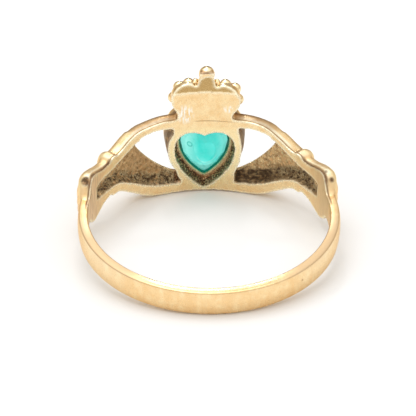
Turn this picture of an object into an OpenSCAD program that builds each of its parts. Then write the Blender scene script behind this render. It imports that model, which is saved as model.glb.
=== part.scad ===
// Claddagh ring: a cast gold band whose two cuffed hands hold a crowned heart set with one stone.
// Millimetres. In the upright ring X runs from hand to hand, Y points out through the heart, and
// Z runs along the finger towards the crown. The whole ring is then tipped to lie on a table.

/* [Band] */
// Radius of the finger hole
finger_r = 8.65; // [7.5:0.05:10.5]
// Width of the band along the finger
band_w = 1.84; // [1.6:0.02:2.2]
// Thickness of the band at its edges
band_edge_t = 0.64; // [0.55:0.01:0.8]
// Extra thickness in the middle of the domed band
band_dome = 0.1; // [0.05:0.01:0.15]
// Polished chamfer along the band's outer edges
band_chamfer = 0.1; // [0.05:0.01:0.15]
// How much wider than the band's bore the head is polished out
head_relief = 0.04; // [0.03:0.01:0.06]

/* [Hands] */
// Height of the thumbs' top edge above the middle of the band
thumb_rise = 3.0; // [2.8:0.05:3.2]
// Depth of the hands' lower edge below the middle of the band
palm_drop = 3.6; // [3.4:0.05:3.8]
// Thickness of the hand at the knuckles, from the finger side
hand_t = 1.6; // [1.4:0.05:1.8]
// Thickness of the thumbs
thumb_t = 1.15; // [1.0:0.05:1.4]
// Metal left between a hand's hollow back and its knuckles
shell_t = 0.6; // [0.5:0.05:0.7]
// Height of the fingers above the grooves between them
finger_relief = 0.26; // [0.15:0.01:0.3]
// Height of the cuff's flutes above the grooves between them
cuff_relief = 0.14; // [0.1:0.01:0.2]
// How far the bracelet swells out of the wrist
bracelet_swell = 0.3; // [0.2:0.02:0.4]

/* [Heart] */
// Half width of the stone
stone_half_w = 2.25; // [2.1:0.05:2.35]
// Height of the stone's lobes above the middle of the band
stone_top = 2.0; // [1.8:0.05:2.1]
// Depth of the stone's point below the middle of the band
stone_tip = 3.3; // [3.1:0.05:3.4]
// Width of the bezel's rim around the stone
rim_w = 0.8; // [0.7:0.05:0.9]
// Height of the seat's ledge above the finger side
seat_rise = 1.0; // [0.8:0.05:1.1]
// Thickness of the seat's ledge
ledge_t = 0.25; // [0.2:0.01:0.3]
// Width of the ledge that the stone rests on
ledge_w = 0.32; // [0.26:0.01:0.36]
// Height of the bezel's rim above the finger side
bezel_rise = 2.4; // [2.2:0.05:2.6]
// Height of the stone above its girdle
stone_crown_h = 0.75; // [0.6:0.05:0.9]
// Height of the stone's girdle band
girdle_h = 0.2; // [0.15:0.05:0.3]
// Depth of the stone below its girdle
pavilion_h = 1.05; // [0.9:0.05:1.1]
// Gap between the stone and its pocket
stone_gap = 0.03; // [0.02:0.01:0.05]
// Gap between the stone's pavilion and the ledge's inner edge
pavilion_gap = 0.12; // [0.06:0.02:0.2]
// Width of the frame round the heart on the finger side
frame_w = 0.52; // [0.45:0.01:0.6]

/* [Crown] */
// Half width of the crown's neck
neck_half_w = 2.05; // [1.9:0.05:2.2]
// Half width of the crown's plate
crown_half_w = 2.55; // [2.4:0.05:2.7]
// Height of the crown's plate above the middle of the band
crown_rise = 5.7; // [5.5:0.05:6.0]
// Thickness of the crown's back plate
plate_t = 0.7; // [0.6:0.05:0.8]
// Thickness of the crown from the finger side to its front
crown_t = 1.35; // [1.2:0.05:1.5]
// Radius of the largest beads along the crown
crown_bead_r = 0.38; // [0.34:0.01:0.42]
// Radius of the ball on top of the crown
finial_r = 0.53; // [0.45:0.01:0.6]
// How far the crown leans towards the right hand, in degrees
crown_lean = 3; // [0:0.5:4]

/* [Hidden] */

gold = [0.93, 0.76, 0.47];
emerald = [0.25, 0.82, 0.72];

// Columns of the table of hand sections. Heights are shares of thumb_rise or palm_drop.
ANGLE = 0;     // degrees round the finger from the middle of the heart
TOP_LEFT = 1;  // top edge of the left hand, of thumb_rise
TOP_RIGHT = 2; // top edge of the right hand, of thumb_rise
GAP_TOP = 3;   // lower edge of the thumb and of the strip beyond it, of thumb_rise
PALM_TOP = 4;  // upper edge of the palm and fingers, of thumb_rise
GAP_LOW = 5;   // upper edge of the strip along the bottom, of palm_drop
LOW = 6;       // bottom edge, of palm_drop
THICK = 7;     // thickness, of hand_t
hand_rows = [
    [ 8, 0.99, 0.98, 0.70, -0.75, -0.84, -0.98, 0.62],
    [12, 0.99, 0.97, 0.71, -0.70, -0.82, -0.99, 0.74],
    [16, 0.98, 0.97, 0.74, -0.63, -0.80, -1.00, 0.84],
    [20, 0.99, 0.98, 0.77, -0.48, -0.78, -1.00, 0.92],
    [24, 0.98, 0.98, 0.78, -0.28, -0.75, -0.98, 0.97],
    [28, 0.96, 0.96, 0.77, -0.02, -0.69, -0.94, 1.00],
    [32, 0.94, 0.91, 0.74,  0.30, -0.61, -0.86, 1.00],
    [34, 0.92, 0.86, 0.71,  0.50, -0.56, -0.81, 1.00],
    [36, 0.89, 0.81, 0.66,  0.66, -0.50, -0.75, 0.99],
    [40, 0.79, 0.71, 0.55,  0.71, -0.40, -0.64, 0.96],
    [44, 0.67, 0.61, 0.45,  0.61, -0.31, -0.52, 0.91],
    [48, 0.59, 0.56, 0.37,  0.56, -0.24, -0.43, 0.85],
    [52, 0.55, 0.53, 0.31,  0.53, -0.22, -0.38, 0.80],
    [56, 0.51, 0.52, 0.29,  0.52, -0.22, -0.38, 0.78],
    [60, 0.54, 0.56, 0.29,  0.56, -0.21, -0.42, 0.80],
    [64, 0.61, 0.63, 0.30,  0.63, -0.20, -0.48, 0.83],
    [68, 0.68, 0.69, 0.30,  0.69, -0.18, -0.53, 0.83],
    [72, 0.70, 0.71, 0.30,  0.71, -0.18, -0.53, 0.80],
    [75, 0.60, 0.60, 0.30,  0.60, -0.18, -0.47, 0.73],
    [78, 0.37, 0.37, 0.30,  0.37, -0.18, -0.33, 0.60],
    [82, 0.28, 0.28, 0.28,  0.28, -0.18, -0.24, 0.44]
];
// Rows that the thumb, the palm with its cuff, and the hollow behind the palm run between
THUMB_ROWS = [1, 11];
PALM_ROWS = [0, 20];
HOLLOW_START_LEFT = 1;
HOLLOW_START_RIGHT = 2;
HOLLOW_END = 16;
// From this row on, one section holds thumb and palm together
WRIST_ROW = 9;
// Row that gives the bracelet its height, its middle and how far it spreads to each side, in degrees
BRACELET_ROW = 12;
bracelet_middle = 50.5;
bracelet_spread = 3.2;

// Columns of the table of a thumb's rounded tip
TIP_ANGLE = 0; // degrees round the finger
TIP_SHORT = 1; // how far each edge is drawn in
TIP_THICK = 2; // thickness, of thumb_t
thumb_tip = [[9.5, 0.25, 0.6], [10.3, 0.08, 0.88]];

// Fingers of a hand and flutes of a cuff
FINGERS = 4;
FLUTES = 5;
// Pellets on the crown's band
PELLETS = 5;
// Steps across a palm or cuff, across a thumb and along the bracelet
PALM_STEPS = 20;
THUMB_STEPS = 8;
BRACELET_STEPS = 6;

// Columns of the table of crown beads
BEAD_LEFT = 0;  // place across on the left, of crown_half_w
BEAD_RIGHT = 1; // place across on the right, of crown_half_w
BEAD_RISE = 2;  // height of the bead's middle, of crown_rise
BEAD_SIZE = 3;  // radius, of crown_bead_r
crown_beads = [
    [0.50, 0.55, 0.925, 1.00],
    [0.76, 0.85, 0.870, 1.00],
    [0.94, 1.00, 0.745, 0.92]
];
// The plate's side from the neck up: place across from neck_half_w to crown_half_w, and height
// as a share of the height from the neck to the top of the plate
neck_sweep = [[0, 0], [0.25, 0.12], [0.6, 0.25], [0.9, 0.37], [1, 0.53]];
// One lobe of the plate's top: place across, of crown_half_w, and depth below the top, of lobe_h
lobe_sweep = [[1, 1], [0.94, 0.65], [0.85, 0.34], [0.71, 0.11], [0.55, 0], [0.42, 0.02], [0.31, 0.2],
              [0.25, 0.08]];
lobe_h = 0.8;

// The web where the heart's frame meets the bar: place across, of the frame's half width, and depth,
// of palm_drop
web_left = [[-0.95, 0.2], [-0.84, 0.36], [-0.73, 0.555], [-0.62, 0.695], [-0.62, 0.9]];
web_right = [[0.86, 0.9], [0.83, 0.695], [0.82, 0.53], [0.9, 0.36], [0.97, 0.2]];

// How far bodies run into the finger hole before it is cut
inset = 0.5;
// Overlap of cuts past the faces that they open
over = 0.2;
head_r = finger_r + head_relief;
band_half_w = band_w / 2;
// Angle from the heart's middle at which the band starts, inside the cuff
band_start = 74;

// The heart: height of its widest place, depth of its dip and the height that it is scaled about
heart_waist = 0.35;
heart_dip = 0.3;
heart_centre = -0.3;

neck_z = thumb_rise + 0.35;
shoulder_z = neck_z + 0.8;
bevel_z = crown_rise - 0.45;
ledge_y = finger_r + seat_rise + ledge_t;
rim_y = finger_r + bezel_rise;
crown_y = finger_r + crown_t;

// The ring lies on the lower edges of both hands and on the back of the band
rest_angle = 20;
tilt = atan((palm_drop - band_half_w) / (head_r * cos(rest_angle) + finger_r + band_edge_t));

// Point at an angle round the finger, counted from the heart towards +X
function at(angle, r, z) = [r * sin(angle), r * cos(angle), z];
// Smooth step from 1 at full to 0 at none
function fade(x, full, none) =
    let (s = min(1, max(0, (x - full) / (none - full)))) 1 - s * s * (3 - 2 * s);
function mean(ring) = [for (k = [0:2]) [for (p = ring) p[k]] * [for (p = ring) 1] / len(ring)];

function row_top(i, side) = thumb_rise * hand_rows[i][side < 0 ? TOP_LEFT : TOP_RIGHT];
function row_gap_top(i) = thumb_rise * hand_rows[i][GAP_TOP];
function row_palm_top(i, side) =
    i < WRIST_ROW ? thumb_rise * hand_rows[i][PALM_TOP] : row_top(i, side);
function row_gap_low(i) = palm_drop * hand_rows[i][GAP_LOW];
function row_low(i) = palm_drop * hand_rows[i][LOW];
function row_thick(i) = hand_t * hand_rows[i][THICK];

// Closed skin through rings of equal length, closed at both ends by fans to the points in ends
module skin(rings, ends) {
    n = len(rings[0]);
    last = len(rings) - 1;
    first_end = n * (last + 1);
    polyhedron(
        points = concat([for (ring = rings) each ring], ends),
        faces = concat(
            [for (k = [0:n - 1]) [first_end, k, (k + 1) % n]],
            [for (j = [0:last - 1], k = [0:n - 1])
                [j * n + k, (j + 1) * n + (k + 1) % n, j * n + (k + 1) % n]],
            [for (j = [0:last - 1], k = [0:n - 1])
                [j * n + k, (j + 1) * n + k, (j + 1) * n + (k + 1) % n]],
            [for (k = [0:n - 1]) [first_end + 1, last * n + (k + 1) % n, last * n + k]]
        )
    );
}

module closed_skin(rings) {
    skin(rings, [mean(rings[0]), mean(rings[len(rings) - 1])]);
}

// Extrudes an outline drawn in X and Z from one height above the finger's axis to another
module outward(from_y, to_y) {
    translate([0, to_y, 0]) rotate([90, 0, 0]) linear_extrude(to_y - from_y) children();
}

module on_side(side) {
    mirror([side < 0 ? 1 : 0, 0, 0]) children();
}

// Dome from 0 at both edges of a section to 1 in its middle, and the grooves between ridges
function dome(s) = sqrt(1 - pow(abs(2 * s - 1), 3));
function groove(s, ridges) = 1 - abs(sin(180 * ridges * s));
function relief_depth(angle, s) =
    finger_relief * fade(angle, 28, 37) * groove(s, FINGERS)
    + cuff_relief * (1 - fade(angle, 56, 62)) * fade(angle, 72, 78) * groove(s, FLUTES);

// Share of its thickness that a section has at its edges
edge_share = 0.56;

// Section of the ring's head at one angle, flat towards the finger and domed in front,
// where root is how far it runs into the finger hole before that is cut
function section(angle, low, top, thick, steps, root) = concat(
    [at(angle, finger_r - root, low)],
    [for (k = [0:steps])
        let (s = k / steps)
        at(angle, finger_r + thick * (edge_share + (1 - edge_share) * dome(s))
                  - relief_depth(angle, s) * dome(s),
           low + (top - low) * s)],
    [at(angle, finger_r - root, top)]
);

module palm_and_cuff(side) {
    closed_skin([for (i = [PALM_ROWS[0]:PALM_ROWS[1]])
        section(hand_rows[i][ANGLE], row_low(i), row_palm_top(i, side), row_thick(i), PALM_STEPS, inset)]);
}

module thumb(side) {
    root_drop = 0.35;
    sunk = 0.08;
    first = THUMB_ROWS[0];
    closed_skin(concat(
        [for (p = thumb_tip)
            section(p[TIP_ANGLE], row_gap_top(first) + p[TIP_SHORT], row_top(first, side) - p[TIP_SHORT],
                    thumb_t * p[TIP_THICK], THUMB_STEPS, 0.8 * inset)],
        [for (i = [first:THUMB_ROWS[1]])
            section(hand_rows[i][ANGLE], row_gap_top(i) - (i < WRIST_ROW - 1 ? 0 : root_drop),
                    row_top(i, side) - (i < WRIST_ROW ? 0 : sunk), thumb_t, THUMB_STEPS, 0.8 * inset)]));
}

module bracelet(side) {
    sunk = 0.12;
    closed_skin([for (k = [0:BRACELET_STEPS])
        let (u = 2 * k / BRACELET_STEPS - 1,
             swell = (bracelet_swell + sunk) * sqrt(1 - u * u) - sunk)
        section(bracelet_middle + bracelet_spread * u, row_low(BRACELET_ROW) - swell * 0.7,
                row_top(BRACELET_ROW, side) + swell * 0.7, row_thick(BRACELET_ROW) + swell,
                THUMB_STEPS * 2, 0.6 * inset)]);
}

module hand(side) {
    on_side(side) {
        palm_and_cuff(side);
        thumb(side);
        bracelet(side);
    }
}

// Hollow behind a palm, open to the finger and to the window between thumb and fingers
module palm_hollow(side) {
    draft = 0.2;
    mouth = 0.4;
    corner_drop = 0.3;
    start = side < 0 ? HOLLOW_START_LEFT : HOLLOW_START_RIGHT;
    on_side(side) closed_skin([for (i = [start:HOLLOW_END])
        let (angle = hand_rows[i][ANGLE],
             low = row_gap_low(i),
             top = i == start ? row_palm_top(i, side) - corner_drop
                 : i < WRIST_ROW - 1 ? row_palm_top(i, side) + mouth : row_gap_top(i),
             deep = finger_r + (row_thick(i) - shell_t) * fade(angle, 54, 71))
        [at(angle, finger_r - inset - over, low), at(angle, deep, low + draft),
         at(angle, deep, top - draft), at(angle, finger_r - inset - over, top)]]);
}

// Right half of a heart from its dip to its point, as X and Z
function half_heart(half_w, top, tip, steps) = concat(
    [for (k = [0:steps]) let (s = k / steps) [half_w * 0.48 * s, top - heart_dip * pow(1 - s, 2)]],
    [for (k = [1:steps]) let (a = 90 * k / steps)
        [half_w * (0.48 + 0.52 * sin(a)), heart_waist + (top - heart_waist) * cos(a)]],
    [for (k = [1:steps + 1]) let (a = 90 * k / (steps + 1))
        [half_w * pow(cos(a), 1.7), heart_waist - (heart_waist + tip) * sin(a)]]
);
function heart(half_w, top, tip, steps) =
    let (half = half_heart(half_w, top, tip, steps), n = len(half))
    concat(half, [for (k = [n - 2:-1:1]) [-half[k][0], half[k][1]]]);
function shrunk(outline, share) =
    [for (p = outline) [p[0] * share, heart_centre + (p[1] - heart_centre) * share]];
function lifted(outline, y) = [for (p = outline) [p[0], y, p[1]]];

function stone_outline(grow, steps) =
    heart(stone_half_w + grow, stone_top + grow, stone_tip + grow * 0.9, steps);
HEART_STEPS = 6;
STONE_STEPS = 3;

// Cup that holds the stone, flaring towards its rim
module bezel() {
    chamfer = 0.15;
    foot_w = 0.1;
    foot = stone_outline(foot_w, HEART_STEPS);
    waist = stone_outline(rim_w - chamfer, HEART_STEPS);
    rim = stone_outline(rim_w, HEART_STEPS);
    closed_skin([
        lifted(foot, finger_r - inset),
        lifted(waist, finger_r + plate_t * 0.8),
        lifted(rim, rim_y - chamfer),
        lifted(waist, rim_y)
    ]);
}

// Finger side of the head: the frame round the heart, and the bar that joins the two hands below it
module heart_frame() {
    frame_half_w = stone_half_w + frame_w;
    frame_top = stone_top + 0.3;
    frame_tip = palm_drop - 0.02;
    bar_h = 0.75;
    outward(finger_r - 2 * inset, finger_r + plate_t)
        polygon(heart(frame_half_w, frame_top, frame_tip, HEART_STEPS));
    outward(finger_r - 2 * inset, finger_r + plate_t)
        polygon([for (p = concat(web_left, web_right)) [p[0] * frame_half_w, -p[1] * palm_drop]]);
    outward(finger_r - 2 * inset, finger_r + plate_t)
        translate([-frame_half_w, -palm_drop]) square([2 * frame_half_w, bar_h]);
}

// Opening behind the stone, the ledge under it and the pocket that it sits in
module stone_seat() {
    opening_drop = 0.35;
    opening_tip = 0.04;
    opening = heart(stone_half_w, stone_top - opening_drop, stone_tip + opening_tip, HEART_STEPS);
    outward(finger_r - 3 * inset, ledge_y - ledge_t) polygon(opening);
    outward(ledge_y - ledge_t - over, ledge_y + over)
        polygon(shrunk(stone_outline(0, HEART_STEPS), 1 - ledge_w / stone_half_w));
    outward(ledge_y, rim_y + over) polygon(stone_outline(stone_gap, HEART_STEPS));
}

// Right half of the outline of the crown's plate, with its neck, one lobe and the stem of the finial
stem_half_w = finial_r * 0.95;
stem_h = 0.8;
function crown_half() = concat(
    [[neck_half_w, stone_top - inset]],
    [for (p = neck_sweep)
        [neck_half_w + (crown_half_w - neck_half_w) * p[0], neck_z + (crown_rise - neck_z) * p[1]]],
    [for (p = lobe_sweep) [crown_half_w * p[0], crown_rise - lobe_h * p[1]]],
    [[stem_half_w, crown_rise + stem_h / 4], [stem_half_w, crown_rise + stem_h]]
);

module crown_plate() {
    half = crown_half();
    outward(finger_r - 2 * inset, finger_r + plate_t)
        polygon(concat(half, [for (k = [len(half) - 1:-1:0]) [-half[k][0], half[k][1]]]));
}

// Front of the crown: its body, the band along its foot, ribs that end in beads, and the finial
module crown_front() {
    body_low = 0.78;
    body_high = 0.95;
    body_top_share = 0.55;
    sunk = 0.2;
    band_h = 0.55;
    band_out = 0.1;
    band_z = thumb_rise + 0.2;
    band_y = crown_y + 0.05;
    back_y = finger_r + plate_t - over;
    outward(back_y, crown_y - sunk)
        polygon([[-neck_half_w, band_z], [neck_half_w, band_z],
                 [crown_half_w, shoulder_z], [crown_half_w, crown_rise * body_low],
                 [crown_half_w * body_top_share, crown_rise * body_high],
                 [-crown_half_w * body_top_share, crown_rise * body_high],
                 [-crown_half_w, crown_rise * body_low], [-crown_half_w, shoulder_z]]);
    outward(back_y, band_y)
        polygon([[-neck_half_w - band_out, band_z], [neck_half_w + band_out, band_z],
                 [neck_half_w + 2 * band_out, band_z + band_h],
                 [-neck_half_w - 2 * band_out, band_z + band_h]]);
    pellet_r = 0.17;
    pellet_run = neck_half_w * 0.85;
    for (k = [0:PELLETS - 1])
        translate([pellet_run * (2 * k / (PELLETS - 1) - 1), band_y, band_z + band_h / 2])
            sphere(r = pellet_r, $fn = 20);
    rib_r = 0.24;
    rib_spread = 0.62;
    for (column = [BEAD_LEFT, BEAD_RIGHT], p = crown_beads) {
        across = (column == BEAD_LEFT ? -1 : 1) * p[column] * crown_half_w;
        rise = p[BEAD_RISE] * crown_rise;
        foot = [across * rib_spread, crown_y - sunk, band_z + band_h / 2];
        translate(foot) rotate([0, atan2(across - foot[0], rise - foot[2]), 0])
            cylinder(r = rib_r, h = norm([across - foot[0], rise - foot[2]]), $fn = 20);
        translate([across, crown_y - sunk / 2, rise]) sphere(r = p[BEAD_SIZE] * crown_bead_r, $fn = 28);
    }
    stem_r = 0.34;
    finial_rise = 0.56;
    finial_y = finger_r + crown_t * 0.7;
    translate([0, crown_y - stem_r * 0.75, band_z])
        cylinder(r = stem_r, h = crown_rise + finial_rise / 2 - band_z, $fn = 24);
    translate([0, finial_y, crown_rise + finial_rise]) sphere(r = finial_r, $fn = 36);
    leaf_r = 0.24;
    for (side = [-1, 1])
        translate([side * 1.5 * finial_r, crown_y - 1.5 * leaf_r, crown_rise - leaf_r / 2])
            sphere(r = leaf_r, $fn = 20);
}

module crown() {
    translate([0, 0, neck_z]) rotate([0, crown_lean, 0]) translate([0, 0, -neck_z]) {
        crown_plate();
        crown_front();
    }
}

// Chamfer along the top of the crown's finger side
module crown_bevel() {
    spread = 25;
    run = 0.35;
    rise = 0.75;
    rotate([0, 0, 90 - spread]) rotate_extrude(angle = 2 * spread, $fn = 120)
        polygon([[head_r - over, bevel_z - over * rise / run], [head_r + run, bevel_z + rise],
                 [head_r + run, crown_rise + 3], [head_r - over, crown_rise + 3]]);
}

// Section of the band: flat bore, chamfered edges and a low dome outside
function band_section() =
    let (edge = finger_r + band_edge_t, steps = 6, flat = band_half_w - band_chamfer)
    concat(
        [[finger_r, -band_half_w], [edge - band_chamfer, -band_half_w]],
        [for (k = [0:steps]) let (s = 2 * k / steps - 1) [edge + band_dome * (1 - s * s), flat * s]],
        [[edge - band_chamfer, band_half_w], [finger_r, band_half_w]]
    );

module band() {
    rotate([0, 0, band_start - 270]) rotate_extrude(angle = 360 - 2 * band_start, $fn = 180)
        polygon(band_section());
}

module head() {
    difference() {
        union() {
            for (side = [-1, 1]) hand(side);
            bezel();
            heart_frame();
            crown();
        }
        translate([0, 0, -2 * palm_drop]) cylinder(r = head_r, h = 2 * (palm_drop + crown_rise), $fn = 180);
        for (side = [-1, 1]) palm_hollow(side);
        stone_seat();
        crown_bevel();
    }
}

module ring_casting() {
    color(gold) rotate([tilt, 0, 0]) {
        band();
        head();
    }
}

// Table, crown facets, girdle, two rows of pavilion facets and the point behind
module stone_shape() {
    girdle = stone_outline(0, STONE_STEPS);
    top_y = ledge_y + girdle_h;
    seat_share = 1 - (ledge_w + pavilion_gap) / stone_half_w;
    skin([
        lifted(shrunk(girdle, seat_share * 0.45), ledge_y - pavilion_h * 0.85),
        lifted(shrunk(girdle, seat_share * 0.82), ledge_y - pavilion_h * 0.45),
        lifted(shrunk(girdle, seat_share), ledge_y),
        lifted(girdle, ledge_y),
        lifted(girdle, top_y),
        lifted(shrunk(girdle, 0.82), top_y + stone_crown_h * 0.6),
        lifted(shrunk(girdle, 0.6), top_y + stone_crown_h)
    ], [
        [0, ledge_y - pavilion_h, heart_centre],
        [0, top_y + stone_crown_h, heart_centre]
    ]);
}

module heart_stone() {
    color(emerald) rotate([tilt, 0, 0]) stone_shape();
}

ring_casting();
heart_stone();
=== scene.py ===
import math

import bpy
import numpy as np
from mathutils import Matrix, Vector, noise


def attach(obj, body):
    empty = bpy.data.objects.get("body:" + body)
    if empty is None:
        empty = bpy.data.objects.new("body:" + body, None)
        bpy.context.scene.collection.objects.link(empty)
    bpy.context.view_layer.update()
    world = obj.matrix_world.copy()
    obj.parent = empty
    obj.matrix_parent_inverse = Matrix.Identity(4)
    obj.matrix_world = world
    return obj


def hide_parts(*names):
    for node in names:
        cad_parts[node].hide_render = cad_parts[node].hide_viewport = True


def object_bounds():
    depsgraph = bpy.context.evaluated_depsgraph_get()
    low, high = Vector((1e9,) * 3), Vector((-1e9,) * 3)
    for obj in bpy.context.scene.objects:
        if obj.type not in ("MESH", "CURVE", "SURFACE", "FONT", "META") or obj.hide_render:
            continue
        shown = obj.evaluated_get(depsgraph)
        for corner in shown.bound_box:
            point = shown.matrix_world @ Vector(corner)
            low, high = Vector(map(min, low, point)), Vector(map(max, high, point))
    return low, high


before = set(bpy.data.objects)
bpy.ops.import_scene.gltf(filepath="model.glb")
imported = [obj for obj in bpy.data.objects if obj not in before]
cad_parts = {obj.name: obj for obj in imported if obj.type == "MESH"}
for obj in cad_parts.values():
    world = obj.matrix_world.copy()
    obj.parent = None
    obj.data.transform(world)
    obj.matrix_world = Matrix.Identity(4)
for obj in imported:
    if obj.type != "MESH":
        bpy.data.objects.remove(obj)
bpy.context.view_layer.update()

# The ring is modelled upright in millimetres: X from hand to hand, Y out through the heart, Z along
# the finger towards the crown. It is then tipped and scaled into the frame.
MM = 0.001
FINGER_R = 8.65
HEAD_R = 8.69
BAND_W = 1.84
BAND_EDGE_T = 0.64
BAND_DOME = 0.10
PALM_DROP = 3.6
THUMB_RISE = 3.0
HAND_T = 1.6
THUMB_T = 1.15
SHELL_T = 0.6
INSET = 0.5
REST_ANGLE = math.radians(20)
TILT = math.atan((PALM_DROP - BAND_W / 2) / (HEAD_R * math.cos(REST_ANGLE) + FINGER_R + BAND_EDGE_T))

STONE_HALF_W = 2.25
STONE_TOP = 2.0
STONE_TIP = 3.3
RIM_W = 0.8
FRAME_W = 0.52
LEDGE_Y = FINGER_R + 1.25
LEDGE_T = 0.25
LEDGE_W = 0.32
RIM_Y = FINGER_R + 2.4
STONE_GAP = 0.03
HEART_WAIST = 0.35
HEART_DIP = 0.3
HEART_CENTRE = -0.3
LOBE_SHARE = 0.48

NECK_HALF_W = 2.05
CROWN_HALF_W = 2.55
CROWN_RISE = 5.7
PLATE_T = 0.7
CROWN_T = 1.35
BEAD_R = 0.38
FINIAL_R = 0.53
CROWN_LEAN = math.radians(3)
NECK_Z = THUMB_RISE + 0.35
CROWN_Y = FINGER_R + CROWN_T

# Sections of a hand round the finger: angle from the heart in degrees, top edge of the left and of
# the right hand, lower edge of the thumb and upper edge of the palm as shares of THUMB_RISE, upper
# edge of the strip at the bottom and bottom edge as shares of PALM_DROP, thickness of HAND_T
ANGLE, TOP_LEFT, TOP_RIGHT, GAP_TOP, PALM_TOP, GAP_LOW, LOW, THICK = range(8)
HAND_ROWS = (
    (8, 0.99, 0.98, 0.70, -0.75, -0.84, -0.98, 0.62),
    (12, 0.99, 0.97, 0.71, -0.70, -0.82, -0.99, 0.74),
    (16, 0.98, 0.97, 0.74, -0.63, -0.80, -1.00, 0.84),
    (20, 0.99, 0.98, 0.77, -0.48, -0.78, -1.00, 0.92),
    (24, 0.98, 0.98, 0.78, -0.28, -0.75, -0.98, 0.97),
    (28, 0.96, 0.96, 0.77, -0.02, -0.69, -0.94, 1.00),
    (32, 0.94, 0.91, 0.74, 0.30, -0.61, -0.86, 1.00),
    (34, 0.92, 0.86, 0.71, 0.50, -0.56, -0.81, 1.00),
    (36, 0.89, 0.81, 0.66, 0.66, -0.50, -0.75, 0.99),
    (40, 0.79, 0.71, 0.55, 0.71, -0.40, -0.64, 0.96),
    (44, 0.67, 0.61, 0.45, 0.61, -0.31, -0.52, 0.91),
    (48, 0.59, 0.56, 0.37, 0.56, -0.24, -0.43, 0.85),
    (52, 0.55, 0.53, 0.31, 0.53, -0.22, -0.38, 0.80),
    (56, 0.51, 0.52, 0.29, 0.52, -0.22, -0.38, 0.78),
    (60, 0.54, 0.56, 0.29, 0.56, -0.21, -0.42, 0.80),
    (64, 0.61, 0.63, 0.30, 0.63, -0.20, -0.48, 0.83),
    (68, 0.68, 0.69, 0.30, 0.69, -0.18, -0.53, 0.83),
    (72, 0.70, 0.71, 0.30, 0.71, -0.18, -0.53, 0.80),
    (75, 0.60, 0.60, 0.30, 0.60, -0.18, -0.47, 0.73),
    (78, 0.37, 0.37, 0.30, 0.37, -0.18, -0.33, 0.60),
    (82, 0.28, 0.28, 0.28, 0.28, -0.18, -0.24, 0.44),
)
WRIST_ANGLE = 37
THUMB_ANGLES = (9, 48)
PALM_ANGLES = (8, 81)
HOLLOW_ANGLES = {-1: (12, 68), 1: (15, 68)}
HOLLOW_CORNER_DROP = {-1: 0.7, 1: 0.3}
FINGERS = 4
FINGER_GROOVE = 0.28
FINGER_ENDS = (28, 38)
FLUTES = 5
FLUTE_DEPTH = 0.16
FLUTE_STARTS = (55, 61)

# Knuckles: angle, height, and spread in degrees
KNUCKLES = ((34.0, 0.10, 2.2), (25.0, 0.07, 1.6), (17.5, 0.05, 1.3))
KNUCKLE_SLANT = 3
# Thickness at the edges of a section, as a share of that in its middle
EDGE_SHARE = 0.56


def deselect():
    bpy.ops.object.select_all(action="DESELECT")


def activate(piece):
    deselect()
    piece.select_set(True)
    bpy.context.view_layer.objects.active = piece


def named(name):
    piece = bpy.context.object
    piece.name = name
    piece.data.name = name
    return piece


def settle():
    """Puts the active piece's place, turn and scale into its mesh."""
    bpy.ops.object.transform_apply(location=True, rotation=True, scale=True)


def faces_outwards():
    """Turns all faces outwards and leaves edit mode."""
    bpy.ops.mesh.select_all(action="SELECT")
    bpy.ops.mesh.normals_make_consistent(inside=False)
    bpy.ops.object.mode_set(mode="OBJECT")


def read_vectors(piece, what):
    flat = np.empty(len(piece.data.vertices) * 3)
    piece.data.vertices.foreach_get(what, flat)
    return flat.reshape(-1, 3)


def points_of(piece):
    return read_vectors(piece, "co")


def moved_points(piece, points):
    piece.data.vertices.foreach_set("co", np.ascontiguousarray(points).ravel())
    piece.data.update()


def fade(x, full, none):
    """Smooth step from 1 at full to 0 at none."""
    s = np.clip((x - full) / (none - full), 0, 1)
    return 1 - s * s * (3 - 2 * s)


def ramp(x, none, full):
    """Straight step from 0 at none to 1 at full."""
    return np.clip((x - none) / (full - none), 0, 1)


def between(x, none, full, full_end, none_end):
    """1 from full to full_end, falling off to 0 at none and at none_end."""
    return ramp(x, none, full) * ramp(x, none_end, full_end)


def each_degree(first, last):
    return np.arange(first, last + 0.5, 1.0)


def mirrored(half):
    """A closed outline from its right half."""
    return half + [(-x, z) for x, z in reversed(half)]


def at(angle, r, z):
    """Point at an angle round the finger, in degrees from the heart towards +X."""
    return (r * math.sin(math.radians(angle)), r * math.cos(math.radians(angle)), z)


def hand_value(column, angle):
    """A column of HAND_ROWS at any angle, on a smooth curve through the rows."""
    angles = [row[ANGLE] for row in HAND_ROWS]
    values = [row[column] for row in HAND_ROWS]
    slopes = np.gradient(values, angles)
    i = int(np.clip(np.searchsorted(angles, angle) - 1, 0, len(angles) - 2))
    span = angles[i + 1] - angles[i]
    t = (angle - angles[i]) / span
    return ((1 + 2 * t) * (1 - t) ** 2 * values[i] + t * (1 - t) ** 2 * span * slopes[i]
            + t * t * (3 - 2 * t) * values[i + 1] - t * t * (1 - t) * span * slopes[i + 1])


def hand_top(side, angle):
    return THUMB_RISE * hand_value(TOP_LEFT if side < 0 else TOP_RIGHT, angle)


def palm_top(side, angle):
    if angle >= WRIST_ANGLE:
        return hand_top(side, angle)
    return min(THUMB_RISE * hand_value(PALM_TOP, angle), hand_top(side, angle))


def dome(s):
    """From 0 at both edges of a section to 1 in its middle."""
    return math.sqrt(max(0, 1 - abs(2 * s - 1) ** 3))


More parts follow.
